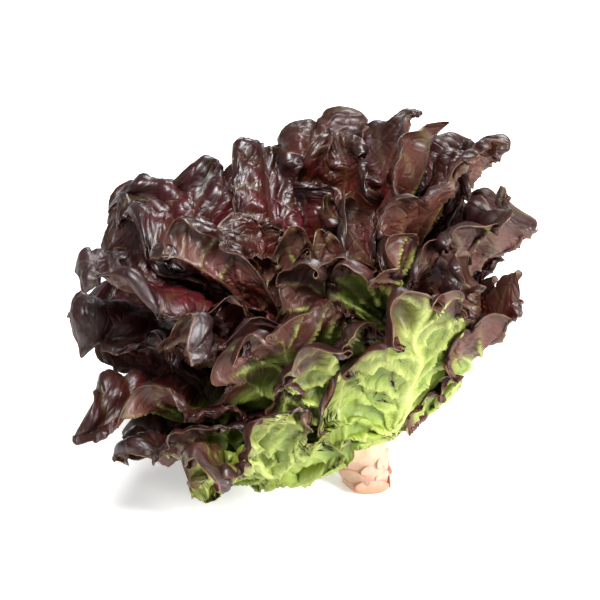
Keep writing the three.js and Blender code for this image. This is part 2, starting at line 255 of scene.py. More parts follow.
def lean(points):
    """The head's axis leans to the left, more so above the stem, and a little back."""
    x, y, z = points[..., 0], points[..., 1], points[..., 2]
    curvature = math.radians(BEND_LEFT) / (BEND_TO - BEND_FROM)
    first = math.radians(LEAN_LEFT)
    straight = np.minimum(z, BEND_FROM)
    angle = first + curvature * np.clip(z - BEND_FROM, 0, BEND_TO - BEND_FROM)
    beyond = np.maximum(0, z - BEND_TO)
    sine, cosine = np.sin(angle), np.cos(angle)
    cx = -math.sin(first) * straight + (cosine - math.cos(first)) / curvature - sine * beyond
    cz = math.cos(first) * straight + (sine - math.sin(first)) / curvature + cosine * beyond
    x, z = cx + x * cosine, cz + x * sine
    back = math.radians(LEAN_BACK)
    return np.stack([x, y * math.cos(back) + z * math.sin(back),
                     -y * math.sin(back) + z * math.cos(back)], -1)


def along_table(points):
    """Leaves lower than FLOOR_EASE bend to lie along the table."""
    z = points[..., 2]
    eased = FLOOR_EASE * np.exp((np.minimum(z, FLOOR_EASE) - FLOOR_EASE) / FLOOR_EASE)
    points = points.copy()
    points[..., 2] = np.where(z < FLOOR_EASE, eased, z)
    return points


def foot_shift():
    """Where the middle of the stem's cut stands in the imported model, in millimetres."""
    co = np.array([v.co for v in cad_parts["stem"].data.vertices]) / MM
    foot = co[co[:, 2] < co[:, 2].min() + 0.05]
    middle = (foot.min(0) + foot.max(0)) / 2
    return np.array([middle[0], middle[1], co[:, 2].min()])


SHIFT = foot_shift()


# ---------------------------------------------------------------- one leaf

class Leaf:
    """Place, size and character of one leaf. width is half the blade's width."""

    def __init__(self, name, azimuth, layer, length_factor, width_factor, phase, number):
        self.name, self.layer, self.phase, self.number = name, layer, phase, number
        self.group = name.rsplit("_", 1)[0]
        self.azimuth = math.radians(azimuth)
        right, back = math.cos(self.azimuth), math.sin(self.azimuth)
        factor = (1 + LONGER_LEFT * max(0, -right) - SHORTER_RIGHT * max(0, right)
                  + LONGER_BACK * max(0, back)
                  - SHORTER_FRONT * max(0, -back) * (1 - FRONT_KEPT * layer)
                  - SHORTER_FRONT_LEFT * towards(self.azimuth, FRONT_LEFT_AZIMUTH) ** FRONT_LEFT_POWER)
        self.length = np.interp(layer, LAYER_STOPS, LEAF_LENGTHS) * factor * length_factor
        followed = FIXED_WIDTH + (1 - FIXED_WIDTH) * factor
        self.width = np.interp(layer, LAYER_STOPS, LEAF_WIDTHS) * followed * width_factor
        reach = np.arange(0.0, 280.0, 4.0)
        self.reach_table = reach
        self.radius_table = on_layer(self.azimuth, reach, self.layer)[0]
        self.front = towards(self.azimuth, GREENEST_AZIMUTH) ** 2
        self.hue = (math.sin(12.9898 * (number + 1) + layer) * 43758.5453) % 1
        start, later, variation = RED_START[self.group]
        self.red_start = start + later * self.front + variation * (self.hue - 0.5)

    def half_width(self, v):
        base = min(BASE_HALF_WIDTH, BASE_WRAP * float(stem_radius(self.layer))) / self.width
        body = base + (1 - base) * ease(v, SHOULDER_START, SHOULDER_END)
        end = np.maximum(0, (v - CAP_START) / (1 - CAP_START))
        return self.width * body * np.sqrt(1 - CAP_NARROWING * end * end)

    def reach_at(self, u, v):
        return self.length * v * (1 - ROUND_END * np.abs(u) ** ROUND_POWER)

    def spread(self, reach, v):
        radius = np.interp(reach, self.reach_table, self.radius_table)
        return np.hypot(radius, SPREAD_CORE * np.sqrt(ease(v, 0, SPREAD_START)))

    def outline_at(self, turn, reach):
        v = reach / self.length
        u = np.zeros_like(v)
        for _ in range(INVERSE_ROUNDS):
            inside = np.minimum(v, 1)
            u = turn * self.spread(reach, inside) / self.half_width(inside)
            v = reach / self.length / (1 - ROUND_END * np.minimum(1, np.abs(u)) ** ROUND_POWER)
        return u, v

    def ruffle(self, u, v, reach, height):
        """The large waves that the CAD plate has too."""
        edge = 1 - (1 - ease(np.abs(u), EDGE_ACROSS, 1)) * (1 - ease(v, EDGE_ALONG, 1))
        angle = np.arctan2(u * self.half_width(v), reach - BLADE_HEART * self.length)
        waves = TURN * EDGE_ROUND * self.length / RUFFLE_LENGTH
        drift = RUFFLE_DRIFT * np.sin(3 * angle + 2 * self.phase)
        main = np.sin(angle * waves / 2 + self.phase + drift)
        fine = RUFFLE_FINE * np.sin(angle * waves * RUFFLE_FINE_PACE + 3 * self.phase)
        return height * edge * (main + fine) * ease(reach, RUFFLE_FROM, RUFFLE_FULL)


def numbered(name, index):
    return f"{name}_{index + 1:02d}"


def varied(variation, index):
    share, step = variation
    return 1 + share * math.sin(step * index)


def all_leaves():
    leaves = [Leaf(numbered("outer_leaf", i), *row, PHASE_STEP * i, i) for i, row in enumerate(OUTER_LEAVES)]
    for name, count, first, start, end in SPIRALS:
        for i in range(count):
            layer = start + (end - start) * i / (count - 1)
            leaves.append(Leaf(numbered(name, i), first + GOLDEN_ANGLE * i, layer,
                               varied(LENGTH_VARIATION, i), varied(WIDTH_VARIATION, i),
                               SPIRAL_PHASE_STEP * i, len(leaves)))
    return leaves


LEAVES = all_leaves()


MOST_ROOM = 60.0
EDGE_MARGIN = 4.0               # counted as part of the other leaf
ROOM_GROWTH = 0.6               # free space gained per millimetre past its edge
ROOM_GRID = 23                  # free space is worked out at this many points each way
CLEAR = 1.5                     # kept out of the free space
LEAST_ROOM = 0.4
OUTWARD_SHARE = 0.27            # parts of the free space that a fold may use
INWARD_SHARE = 0.5
BLISTER_IN = (0.5, 1.2)         # share of the free space a blister may use, and millimetres it always may
BLISTER_OUT = (0.4, 1.0)
COLUMN_CROWDING = 1.12          # above 1, columns stand closer together near the midrib
FALL = 7.5                      # how far in from the edge the smallest folds reach
NOTCH_FALL = 10
CELL_BORDER = 0.8               # width of the slope between two blisters, in blisters
VEIN_SLANT = 0.85
VEIN_WIDTH = 1.3
PIT_WIDTH = 3.0


def free_room(leaf, u, v):
    """Millimetres to the next leaf inwards and outwards, at points of this leaf."""
    reach = leaf.reach_at(u, v)
    turn = u * leaf.half_width(v) / leaf.spread(reach, v)
    azimuth = leaf.azimuth + turn
    depth = layer_depth(azimuth, reach, leaf.layer)
    inwards, outwards = np.full_like(reach, MOST_ROOM), np.full_like(reach, MOST_ROOM)
    for other in LEAVES:
        if other is leaf:
            continue
        turn = (azimuth - other.azimuth + math.pi) % TURN - math.pi
        ou, ov = other.outline_at(turn, reach)
        side = np.maximum(0, np.abs(ou) - 1) * other.half_width(np.minimum(ov, 1))
        past = np.maximum(0, np.hypot(side, np.maximum(0, ov - 1) * other.length) - EDGE_MARGIN)
        gap = (other.layer - leaf.layer) * depth
        room = np.abs(gap) + past * ROOM_GROWTH
        if other.layer > leaf.layer:
            outwards = np.minimum(outwards, room)
        else:
            inwards = np.minimum(inwards, room)
    return inwards, outwards, depth


def spread_grid(coarse, rows, columns):
    """Bilinear reading of a coarse grid at rows x columns points."""
    r = np.linspace(0, coarse.shape[0] - 1, rows)
    c = np.linspace(0, coarse.shape[1] - 1, columns)
    down, over = np.arange(coarse.shape[0]), np.arange(coarse.shape[1])
    half = np.stack([np.interp(r, down, coarse[:, k]) for k in over], 1)
    return np.stack([np.interp(c, over, half[k]) for k in range(rows)], 0)


def cells(x, y, size, seed):
    """Distance to the nearest two points of a jittered grid: (nearest, second), in units of size."""
    rng = np.random.default_rng(seed)
    gx, gy = np.floor(x / size).astype(int), np.floor(y / size).astype(int)
    low_x, low_y = gx.min() - 2, gy.min() - 2
    jitter = rng.uniform(0.12, 0.88, (gx.max() - low_x + 3, gy.max() - low_y + 3, 2))
    near = np.full(x.shape, 9.0)
    second = np.full(x.shape, 9.0)
    for i in (-1, 0, 1):
        for j in (-1, 0, 1):
            cx, cy = gx + i, gy + j
            spot = jitter[cx - low_x, cy - low_y]
            d = np.hypot(x / size - cx - spot[..., 0], y / size - cy - spot[..., 1])
            second = np.where(d < near, near, np.minimum(second, d))
            near = np.minimum(near, d)
    return near, second


class Sheet:
    """The finished surface of one leaf: two faces, their normals and the marks that colour it."""

    def __init__(self, leaf, shape, rows, columns):
        self.leaf, self.shape, self.rows, self.columns = leaf, shape, rows, columns
        spots = np.linspace(-1, 1, columns)
        spots = np.sign(spots) * np.abs(spots) ** COLUMN_CROWDING
        self.u, self.v = np.meshgrid(spots, np.linspace(0, 1, rows))
        self.lay_out()
        self.relief()
        self.place()
        self.marks()

    def lay_out(self):
        """Blade coordinates x across and y along, folded at the edge, and the pull off the layer."""
        leaf, u, v, shape = self.leaf, self.u, self.v, self.shape
        reach = leaf.reach_at(u, v)
        x = u * leaf.half_width(v)
        self.edge = np.minimum((1 - np.abs(u)) * leaf.half_width(v),
                               (1 - v) * leaf.length * (1 - ROUND_END * np.abs(u) ** ROUND_POWER))
        self.x, self.y = x, reach
        cu, cv = np.meshgrid(np.linspace(-1, 1, ROOM_GRID), np.linspace(0, 1, ROOM_GRID))
        self.inwards, self.outwards, depth = (spread_grid(g, self.rows, self.columns)
                                              for g in free_room(leaf, cu, cv))
        ph = np.random.default_rng(900 + leaf.number).uniform(0, TURN, 10)
        angle = np.arctan2(x, reach - BLADE_HEART * leaf.length)
        arc = angle * EDGE_ROUND * leaf.length
        free = ease(reach, 18, 60)
        near_edge = np.exp(-(self.edge / shape.frill_depth) ** 1.3) * free
        at_edge = np.exp(-(self.edge / FALL) ** 1.5) * free
        wander = 1.3 * np.sin(2.3 * angle + ph[0]) + 0.9 * np.sin(5.1 * angle + ph[1])
        frill = arc * TURN / shape.frill_length + wander * 1.6 + ph[2]
        crimp = arc * TURN / shape.crimp_length + 2.2 * np.sin(7.3 * angle + ph[3]) + ph[4]
        lobe = np.sqrt(np.abs(np.cos(arc * math.pi / shape.lobe_length + 0.7 * wander + ph[6])))
        big = shape.frill_height * near_edge * np.sin(frill) * (0.75 + 0.35 * np.sin(3.7 * angle + ph[5]))
        small = shape.crimp_height * at_edge * np.sin(crimp)
        curl = shape.curl * at_edge * (0.55 + 0.45 * np.sin(2.9 * angle + ph[8])) * lobe
        wish = leaf.ruffle(u, v, reach, shape.ruffle_height) + big + small + curl
        limit = np.where(wish > 0, OUTWARD_SHARE * np.maximum(self.outwards - CLEAR, LEAST_ROOM),
                         INWARD_SHARE * np.maximum(self.inwards - CLEAR, LEAST_ROOM))
        self.off = limit * np.tanh(wish / limit) / depth
        loose = np.clip(np.minimum(self.inwards, self.outwards) / 9, 0.2, 1)
        swing = shape.fold_over * near_edge * np.cos(frill) * loose
        notch = -shape.lobe_depth * (1 - lobe) * np.exp(-(self.edge / NOTCH_FALL) ** 1.5) * free
        self.fx = x + swing * np.cos(angle) + notch * np.sin(angle)
        self.fy = np.maximum(0, reach - swing * np.sin(angle) + notch * np.cos(angle))
        puff = np.exp(-((self.edge - 9) / 8) ** 2) * free
        self.puff = shape.puff * puff * lobe

    def relief(self):
        """Height of the blisters towards the inner face, and of the ribs on the outer face."""
        leaf, shape = self.leaf, self.shape
        x, y, side = self.x, self.y, np.sign(self.x)
        rng = np.random.default_rng(70 + leaf.number)
        a, b, c, d = rng.uniform(0, TURN, 4)
        vein_y = y - np.abs(x) * VEIN_SLANT
        wobble = 2.6 * np.sin(x / 11 + a) + 1.8 * np.sin(y / 13 + b)
        rank = (vein_y + wobble + side * 4) / shape.vein_spacing
        line = np.abs(rank - np.round(rank)) * shape.vein_spacing
        across = np.abs(x) / leaf.width
        side_vein = (np.exp(-(line / VEIN_WIDTH) ** 2) * ease(np.abs(x), 1, 4) * ease(y, 14, 30)
                     * (1 - ease(across, 0.35, 0.85)) * (0.6 + 0.4 * np.sin(rank * 1.7 + side)))
        midrib_width = 0.9 + 5.0 * (1 - ease(self.v, 0, 0.8))
        rib = np.exp(-(x / midrib_width) ** 2)
        self.rib_height = rib * shape.midrib_height * (1 - ease(self.v, 0.02, 0.92)) + 0.7 * side_vein
        self.rib_depth = rib
        near, second = cells(x * 0.9 + 4 * np.sin(y / 17 + c), vein_y * 0.86 + 40 * (x > 0),
                             shape.blister_size, 40 + leaf.number)
        pillow = np.sqrt(np.clip((second - near) / CELL_BORDER, 0, 1))
        near, second = cells(x + 1.5 * np.sin(y / 6), y, shape.blister_size * 0.45, 140 + leaf.number)
        small = np.sqrt(np.clip((second - near) / CELL_BORDER, 0, 1))
        bands = np.sqrt(np.abs(np.sin(math.pi * rank)))
        banded = 1 - ease(across, 0.35, 0.8)
        blade = ease(np.abs(x), midrib_width * 0.6, midrib_width * 0.6 + 7) * ease(self.v, 0.08, 0.3)
        calm = 0.3 + 0.7 * ease(self.edge, 0, 6)
        patchy = 0.85 + 0.3 * np.sin(x / 21 + a) * np.sin(y / 27 + d)
        room = np.clip(np.minimum(self.inwards, self.outwards) / 8, 0.5, 1)
        deep = 1 + 0.9 * leaf.front * (leaf.group == "outer_leaf")
        height = pillow * (0.75 - 0.35 * banded) + 0.5 * bands * banded + 0.14 * small
        bulge = (blade * calm * patchy * room * min(1, 0.5 + leaf.width / 90)
                 * deep * shape.blister_height * (height - 0.4) + self.puff * room)
        between = np.abs(rank - np.floor(rank) - 0.5) * shape.vein_spacing
        pit = (np.exp(-(between / PIT_WIDTH) ** 2) * ease(np.abs(x), 3, 8) * (1 - ease(np.abs(x), 16, 30))
               * ease(self.v, 0.1, 0.22) * (1 - ease(self.v, 0.72, 0.92)))
        bulge += shape.pit_depth * pit * leaf.front * (leaf.group == "outer_leaf")
        limit = np.where(bulge > 0, np.maximum(BLISTER_IN[0] * self.inwards, BLISTER_IN[1]),
                         np.maximum(BLISTER_OUT[0] * self.outwards, BLISTER_OUT[1]))
        self.bulge = limit * np.tanh(bulge / limit)
        self.crease = 1 - np.clip(height * 1.25, 0, 1) * blade
        self.vein = np.clip(np.maximum(rib * (1 - 0.6 * self.v), 0.8 * side_vein), 0, 1)

    def place(self):
        leaf = self.leaf
        turn = self.fx / leaf.spread(self.fy, self.v)
        azimuth = leaf.azimuth + turn
        radius, height = on_layer(azimuth, self.fy, leaf.layer + self.off)
        points = np.stack([radius * np.cos(azimuth), radius * np.sin(azimuth), height], -1)
        middle = lean(shared_push(points))
        normal = self.normals(middle)
        middle = middle - normal * self.bulge[..., None]
        normal = self.normals(middle)
        half = self.shape.thickness / 2 * (0.55 + 0.45 * ease(self.edge, 0, 3)) + 0.35 * self.rib_depth
        inner = middle - normal * half[..., None]
        outer = middle + normal * (half + self.rib_height)[..., None]
        self.inner = along_table(inner) + SHIFT
        self.outer = along_table(outer) + SHIFT

    @staticmethod
    def normals(points):
        over, up = np.gradient(points, axis=1), np.gradient(points, axis=0)
        n = np.cross(over, up)
        return n / np.maximum(np.linalg.norm(n, axis=-1, keepdims=True), 1e-9)

    def marks(self):
        """Attributes: how far out a point is, how red it is, vein, edge line (the mask of a painted highlight)
        and crease.
        """
        leaf = self.leaf
        rim_share = 0.5 * (1 - leaf.front) + 0.06
        self.out = np.clip(np.maximum(self.v, rim_share * np.abs(self.u) ** 1.5 + 0.65 * self.v), 0, 1)
        self.red = ease(self.out, leaf.red_start - 0.3, leaf.red_start + 0.26)
        self.hue = np.full_like(self.out, leaf.hue)
        # Closeness to the edge: the mask of the painted highlight, a pale line where the edge would catch light.
        self.rim = np.exp(-(self.edge / 0.9) ** 2)


def leaf_mesh(sheet, name, material):
    """A closed mesh of both faces and the rim, with UVs that lie on the blade and the marks as attributes."""
    rows, columns = sheet.rows, sheet.columns
    count = rows * columns
    points = np.concatenate([sheet.inner.reshape(-1, 3), sheet.outer.reshape(-1, 3)]) * MM
    index = np.arange(count).reshape(rows, columns)
    quad = np.stack([index[:-1, :-1], index[:-1, 1:], index[1:, 1:], index[1:, :-1]], -1).reshape(-1, 4)
    loop = np.concatenate([index[0, :-1], index[:-1, -1], index[-1, :0:-1], index[:0:-1, 0]])
    following = np.roll(loop, -1)
    rim = np.stack([following, loop, loop + count, following + count], -1)
    faces = np.concatenate([quad[:, ::-1], quad + count, rim])
    mesh = bpy.data.meshes.new(name)
    mesh.vertices.add(len(points))
    mesh.vertices.foreach_set("co", points.ravel())
    mesh.loops.add(faces.size)
    mesh.loops.foreach_set("vertex_index", faces.ravel().astype(np.int32))
    mesh.polygons.add(len(faces))
    mesh.polygons.foreach_set("loop_start", np.arange(0, faces.size, 4, dtype=np.int32))
    mesh.update(calc_edges=True)
    mesh.shade_smooth()
    offset = 0.37 * sheet.leaf.number
    flat = np.stack([sheet.x / 200 + offset, sheet.y / 200 + 0.61 * offset], -1).reshape(-1, 2)
    flat = np.concatenate([flat, flat])
    layer = mesh.uv_layers.new(name="blade")
    layer.data.foreach_set("uv", flat[faces.ravel()].ravel().astype(np.float32))
    side = np.concatenate([np.zeros(count), np.ones(count)])
    for label, values in (("out", sheet.out), ("red", sheet.red), ("vein", sheet.vein),
                          ("rim", sheet.rim), ("crease", sheet.crease), ("hue", sheet.hue)):
        put_attribute(mesh, label, np.concatenate([values.ravel(), values.ravel()]))
    put_attribute(mesh, "outer_face", side)
    mesh.materials.append(material)
    mesh.validate()
    return mesh


def put_attribute(mesh, name, values):
    attribute = mesh.attributes.new(name, "FLOAT", "POINT")
    attribute.data.foreach_set("value", values.astype(np.float32))


def add_object(name, mesh):
    made = bpy.data.objects.new(name, mesh)
    bpy.context.scene.collection.objects.link(made)
    return made


# ---------------------------------------------------------------- shader writing

class Wire:
    """A shader value that can be used in sums; every sum adds its Math node."""

    def __init__(self, tree, socket):
        self.tree, self.socket = tree, socket

    def _math(self, operation, first, second=None, clamp=False):
        node = self.tree.nodes.new("ShaderNodeMath")
        node.operation, node.use_clamp = operation, clamp
        for slot, value in zip(node.inputs, (first, second)):
            if isinstance(value, Wire):
                self.tree.links.new(value.socket, slot)
            elif value is not None:
                slot.default_value = value
        return Wire(self.tree, node.outputs[0])

    def __add__(self, other): return self._math("ADD", self, other)
    def __radd__(self, other): return self._math("ADD", other, self)
    def __sub__(self, other): return self._math("SUBTRACT", self, other)
    def __rsub__(self, other): return self._math("SUBTRACT", other, self)
    def __mul__(self, other): return self._math("MULTIPLY", self, other)
    def __rmul__(self, other): return self._math("MULTIPLY", other, self)
    def __truediv__(self, other): return self._math("DIVIDE", self, other)
    def __pow__(self, other): return self._math("POWER", self, other)

    def clamped(self):
        return self._math("ADD", self, 0.0, clamp=True)


class Wiring:
    """A node tree and the one way its nodes are made."""

    def __init__(self, tree):
        self.tree = tree
        tree.nodes.clear()

    def node(self, kind, settings=None, output=0, **inputs):
        node = self.tree.nodes.new(kind)
        for key, value in (settings or {}).items():
            if key == "stops":
                self._stops(node.color_ramp, value)
            else:
                setattr(node, key, value)
        for key, value in inputs.items():
            label = key.replace("_", " ")
            slot = self._slot(node, label)
            if isinstance(value, Wire):
                self.tree.links.new(value.socket, slot)
            else:
                slot.default_value = value
        return Wire(self.tree, node.outputs[output])

    @staticmethod
    def _slot(node, label):
        for slot in node.inputs:
            if slot.name.lower() == label.lower() and slot.enabled:
                return slot
        raise KeyError(f"{node.bl_idname} has no input {label}")

    def vector(self, x, y, z):
        return self.node("ShaderNodeCombineXYZ", X=x, Y=y, Z=z)

    @staticmethod
    def _stops(ramp, stops):
        while len(ramp.elements) < len(stops):
            ramp.elements.new(0.5)
        for element, (position, colour) in zip(ramp.elements, stops):
            element.position = position
            element.color = (*colour, 1)


class Shader(Wiring):
    """A material and its patterns."""

    def __init__(self, name):
        self.material = bpy.data.materials.new(name)
        self.material.use_nodes = True
        super().__init__(self.material.node_tree)

    def mark(self, name):
        settings = {"attribute_name": name, "attribute_type": "GEOMETRY"}
        return self.node("ShaderNodeAttribute", settings, output=2)

    def noise(self, vector, scale, detail=3.0, roughness=0.55, distortion=0.0, dimensions="2D"):
        return self.node("ShaderNodeTexNoise", {"noise_dimensions": dimensions}, Vector=vector, Scale=scale,
                         Detail=detail, Roughness=roughness, Distortion=distortion)

    def mix(self, factor, first, second, blend="MIX"):
        node = self.tree.nodes.new("ShaderNodeMix")
        node.data_type, node.blend_type, node.clamp_factor = "RGBA", blend, True
        for slot, value in ((node.inputs[0], factor), (node.inputs[6], first), (node.inputs[7], second)):
            if isinstance(value, Wire):
                self.tree.links.new(value.socket, slot)
            elif isinstance(value, (tuple, list)):
                slot.default_value = (*value, 1)
            else:
                slot.default_value = value
        return Wire(self.tree, node.outputs[2])

    def ramp(self, factor, stops, mode="LINEAR"):
        made = self.node("ShaderNodeValToRGB", {"stops": stops}, Fac=factor)
        made.socket.node.color_ramp.interpolation = mode
        return made

    def finish(self, surface):
        output = self.tree.nodes.new("ShaderNodeOutputMaterial")
        self.tree.links.new(surface.socket, output.inputs[0])
        return self.material


def linear(red, green, blue):
    """A colour given as 0 to 255 on a screen, as the linear values shaders take."""
    return tuple(c / 12.92 if c <= 0.04045 else ((c + 0.055) / 1.055) ** 2.4
                 for c in (red / 255, green / 255, blue / 255))


def leaf_material(name, look):
    """Waxy leaf: green at the base and red outwards, with veins, creases, speckles, painted shade in the pits of
    the outer face and a pale rim that is a painted highlight.
    """
    sh = Shader(name)
    uv = sh.node("ShaderNodeUVMap", {"uv_map": "blade"})
    out, red, vein, hue = sh.mark("out"), sh.mark("red"), sh.mark("vein"), sh.mark("hue")
    rim, crease, face = sh.mark("rim"), sh.mark("crease"), sh.mark("outer_face")
    cloudy = sh.noise(uv, 8, 4, 0.6)
    mottle = sh.noise(uv, 34, 5, 0.65, 0.4)
    speckle = sh.noise(uv, 150, 3, 0.7)
    green = sh.ramp(out + (mottle - 0.5) * 0.3 + face * 0.04, look["green"])
    wine = sh.ramp(out + (cloudy - 0.5) * 0.6, look["wine"])
    brown = sh.ramp(out + (cloudy - 0.5) * 0.6, look["brown"])
    ruby = sh.mix(((hue + cloudy * 1.4 + face * 0.25 - 1.05) * 2.2).clamped(), wine, brown)
    flush = red + (cloudy - 0.5) * 0.8 + (mottle - 0.5) * 0.5 + (1 - face) * look["inner_redder"]
    flush = flush - face * look["outer_greener"] - vein * (0.12 + 0.25 * face) - crease * face * 0.15
    flush = sh.ramp(flush, [(0.24, (0, 0, 0)), (0.6, (1, 1, 1))], "EASE")
    colour = sh.mix(flush, green, ruby)
    # Painted shade: the green of the outer face is darkened in the pits between the veins, where shade would
    # fall.
    painted_pit_shade = (0.95 - crease * 2.2).clamped() * face * (1 - flush) * (1 - vein)
    colour = sh.mix(painted_pit_shade * 0.7, colour, look["painted_pit_shade"], "MULTIPLY")
    colour = sh.mix((face * 0.4 + 0.1) * crease * (1 - flush), colour, look["vein"])
    colour = sh.mix(vein * (0.3 + 0.5 * face) * (1 - 0.75 * flush), colour, look["vein"])
    colour = sh.mix(((speckle - 0.4) * 1.1 * (1 - 0.4 * flush)).clamped(), colour, look["shade"], "MULTIPLY")
    colour = sh.mix(face * flush * look["outer_bloom"] * (0.4 + cloudy), colour, look["bloom"])
    # Painted highlight: a pale line along the edge, where it would catch light.
    colour = sh.mix(rim * 0.3 * cloudy, colour, look["rim"])
    cell = sh.node("ShaderNodeTexVoronoi", {"feature": "DISTANCE_TO_EDGE", "voronoi_dimensions": "2D"},
                   Vector=uv, Scale=40, Randomness=1.0)
    net = sh.ramp(cell, [(0.0, (0, 0, 0)), (0.2, (1, 1, 1))], "EASE")
    bump = sh.node("ShaderNodeBump", Strength=look["bump"], Distance=0.0013,
                   Height=net * 0.5 + mottle * 0.6 + speckle * 0.14)
    rough = look["rough"] + (mottle - 0.5) * 0.25 + face * 0.12 + crease * 0.08
    shader = sh.node("ShaderNodeBsdfPrincipled", Base_Color=colour, Roughness=rough.clamped(), Normal=bump,
                     IOR=1.47, Coat_Weight=look["coat"], Coat_Roughness=0.24,
                     Subsurface_Weight=look["translucent"], Subsurface_Radius=(1.0, 0.65, 0.25),
                     Subsurface_Scale=0.0014)
    return sh.finish(shader)


# ---------------------------------------------------------------- settings

def tint(label, colour, note):
    return bpy.props.FloatVectorProperty(name=label, description=note, subtype="COLOR", size=3,
                                         min=0, max=1, default=linear(*colour))


def size(label, millimetres, note):
    return bpy.props.FloatProperty(name=label, description=f"{note}, in millimetres",
                                   default=millimetres, min=0)


class LeafShape(bpy.types.PropertyGroup):
    thickness: size("Thickness", 0.55, "Thickness of the blade")
    ruffle_height: size("Ruffle height", 11, "Height of the large waves")
    frill_height: size("Frill height", 9, "Height of the folds along the edge")
    frill_length: size("Frill length", 28, "From one fold to the next")
    frill_depth: size("Frill depth", 23, "How far in from the edge folds reach")
    fold_over: size("Fold over", 4.5, "Sideways swing of a fold")
    crimp_height: size("Crimp height", 2.8, "Height of the small waves at the edge")
    crimp_length: size("Crimp length", 12, "From one small wave to the next")
    lobe_depth: size("Lobe depth", 8, "Depth of the notches between lobes")
    lobe_length: size("Lobe length", 26, "Across a lobe")
    puff: size("Puff", 4, "Height to which a lobe swells")
    curl: size("Curl", 3, "How far the edge turns back")
    blister_size: size("Blister size", 11, "Across a blister")
    blister_height: size("Blister height", 9, "Height of a blister")
    pit_depth: size("Pit depth", 6, "Depth of the pits beside the midrib of the front leaves")
    vein_spacing: size("Vein spacing", 15, "Between side veins")
    midrib_height: size("Midrib height", 3.4, "Height of the midrib at the leaf's base")


class LeafColours(bpy.types.PropertyGroup):
    base: tint("Base", (208, 214, 140), "Where the leaf joins the stem")
    bright: tint("Bright green", (154, 172, 58), "Young green of the lower blade")
    green: tint("Green", (128, 146, 52), "Green of the blade")
    olive: tint("Olive", (104, 106, 38), "Where green meets red")
    russet: tint("Russet", (144, 72, 42), "Edge of the red")
    brown: tint("Brown", (86, 29, 18), "Brown red of the blade")
    umber: tint("Umber", (44, 16, 11), "Darkest brown red")
    ruby: tint("Ruby", (92, 19, 26), "Wine red of the blade")
    burgundy: tint("Burgundy", (36, 8, 11), "Darkest wine red")
    vein: tint("Vein", (180, 190, 106), "Midrib and veins")
    # The rim colour is a painted highlight: a thin pale line along the edge, where it would catch light.
    bloom: tint("Bloom", (134, 84, 66), "Greyish cast of the outer face")
    rim: tint("Rim", (190, 138, 104), "Thin line along the edge")


class StemLook(bpy.types.PropertyGroup):
    cream: tint("Cream", (196, 170, 148), "Skin of the stem")
    pink: tint("Pink", (198, 138, 122), "Flush of the skin")
    straw: tint("Straw", (202, 168, 136), "Streaks in the skin")
    young: tint("Young", (202, 192, 146), "Skin below the leaves")
    lip: tint("Lip", (188, 126, 106), "Edges of the leaf scars")
    dried: tint("Dried", (190, 140, 100), "Dried skin near the cut")
    cut: tint("Cut", (152, 92, 58), "Cut end")
    scars: bpy.props.IntProperty(name="Leaf scars", description="Scars up the stem", default=15, min=0)
    lowest: size("Lowest scar", 2, "Height of the lowest scar")
    rise: size("Rise", 1.35, "Height from one scar to the next")
    scar_width: size("Scar width", 17, "Across a scar")
    scar_height: size("Scar height", 9.5, "Height of a scar")
    swell: size("Swell", 1.3, "How far a scar stands out")
    tilt: bpy.props.FloatProperty(name="Tilt", description="Leaning out of a scar's top", subtype="ANGLE",
                                  default=math.radians(9))
    seed: bpy.props.IntProperty(name="Seed", description="Chance differences between scars", default=4)


class StageLook(bpy.types.PropertyGroup):
    floor: tint("Floor", (246, 246, 246), "Floor and backdrop")
    elevation: bpy.props.FloatProperty(name="Camera elevation", description="Above the horizon",
                                       subtype="ANGLE", default=math.radians(27))
    lens: bpy.props.FloatProperty(name="Lens", description="Focal length, mm", default=100.0)
    width: bpy.props.FloatProperty(name="View width", description="At the stem", subtype="DISTANCE",
                                   unit="LENGTH", default=0.372)


# ---------------------------------------------------------------- operators

def looks(group, colours):
    """Colours and finish of one group of leaves."""
    c = {key: tuple(getattr(colours, key)) for key in LeafColours.__annotations__}
    look = {"green": [(0.0, c["base"]), (0.2, c["bright"]), (0.55, c["green"]), (0.95, c["olive"])],
            "wine": [(0.15, c["russet"]), (0.45, c["ruby"]), (0.9, c["burgundy"])],
            "brown": [(0.15, c["russet"]), (0.5, c["brown"]), (1.0, c["umber"])],
            "vein": c["vein"], "rim": c["rim"], "bloom": c["bloom"],
            # The pit colour on this line is painted shade, multiplied into the pits of the outer face.
            "shade": (0.5, 0.46, 0.42), "painted_pit_shade": (0.5, 0.64, 0.3),
            "outer_greener": 0.1, "inner_redder": 0.16, "outer_bloom": 0.22, "rough": 0.42, "coat": 0.16,
            "bump": 0.45, "translucent": 0.25}
    if group == "inner_leaf":
        look.update(rough=0.34, coat=0.3, outer_bloom=0.2)
    if group == "heart_leaf":
        green = [(0.0, c["base"]), (0.3, c["bright"]), (1.0, c["bright"])]
        look.update(green=green, translucent=0.4, coat=0.2)
    return look


def make_leaves(context, group):
    """Every leaf of one group as its own piece, each standing for its CAD plate."""
    scene = context.scene
    material = leaf_material(group, looks(group, scene.leaf_colours))
    fine = GRIDS[group]
    for leaf in LEAVES:
        if leaf.group != group:
            continue
        sheet = Sheet(leaf, scene.leaf_shape, *fine)
        piece = add_object(f"{leaf.name}_blade", leaf_mesh(sheet, f"{leaf.name}_blade", material))
        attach(piece, "root")
        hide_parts(leaf.name)


class LETTUCE_OT_outer_leaves(bpy.types.Operator):
    """Makes the large open leaves round the outside"""
    bl_idname = "lettuce.outer_leaves"
    bl_label = "Outer Leaves"

    def execute(self, context):
        make_leaves(context, "outer_leaf")
        return {"FINISHED"}


class LETTUCE_OT_middle_leaves(bpy.types.Operator):
    """Makes the red-brown leaves of the middle layers"""
    bl_idname = "lettuce.middle_leaves"
    bl_label = "Middle Leaves"

    def execute(self, context):
        make_leaves(context, "middle_leaf")
        return {"FINISHED"}


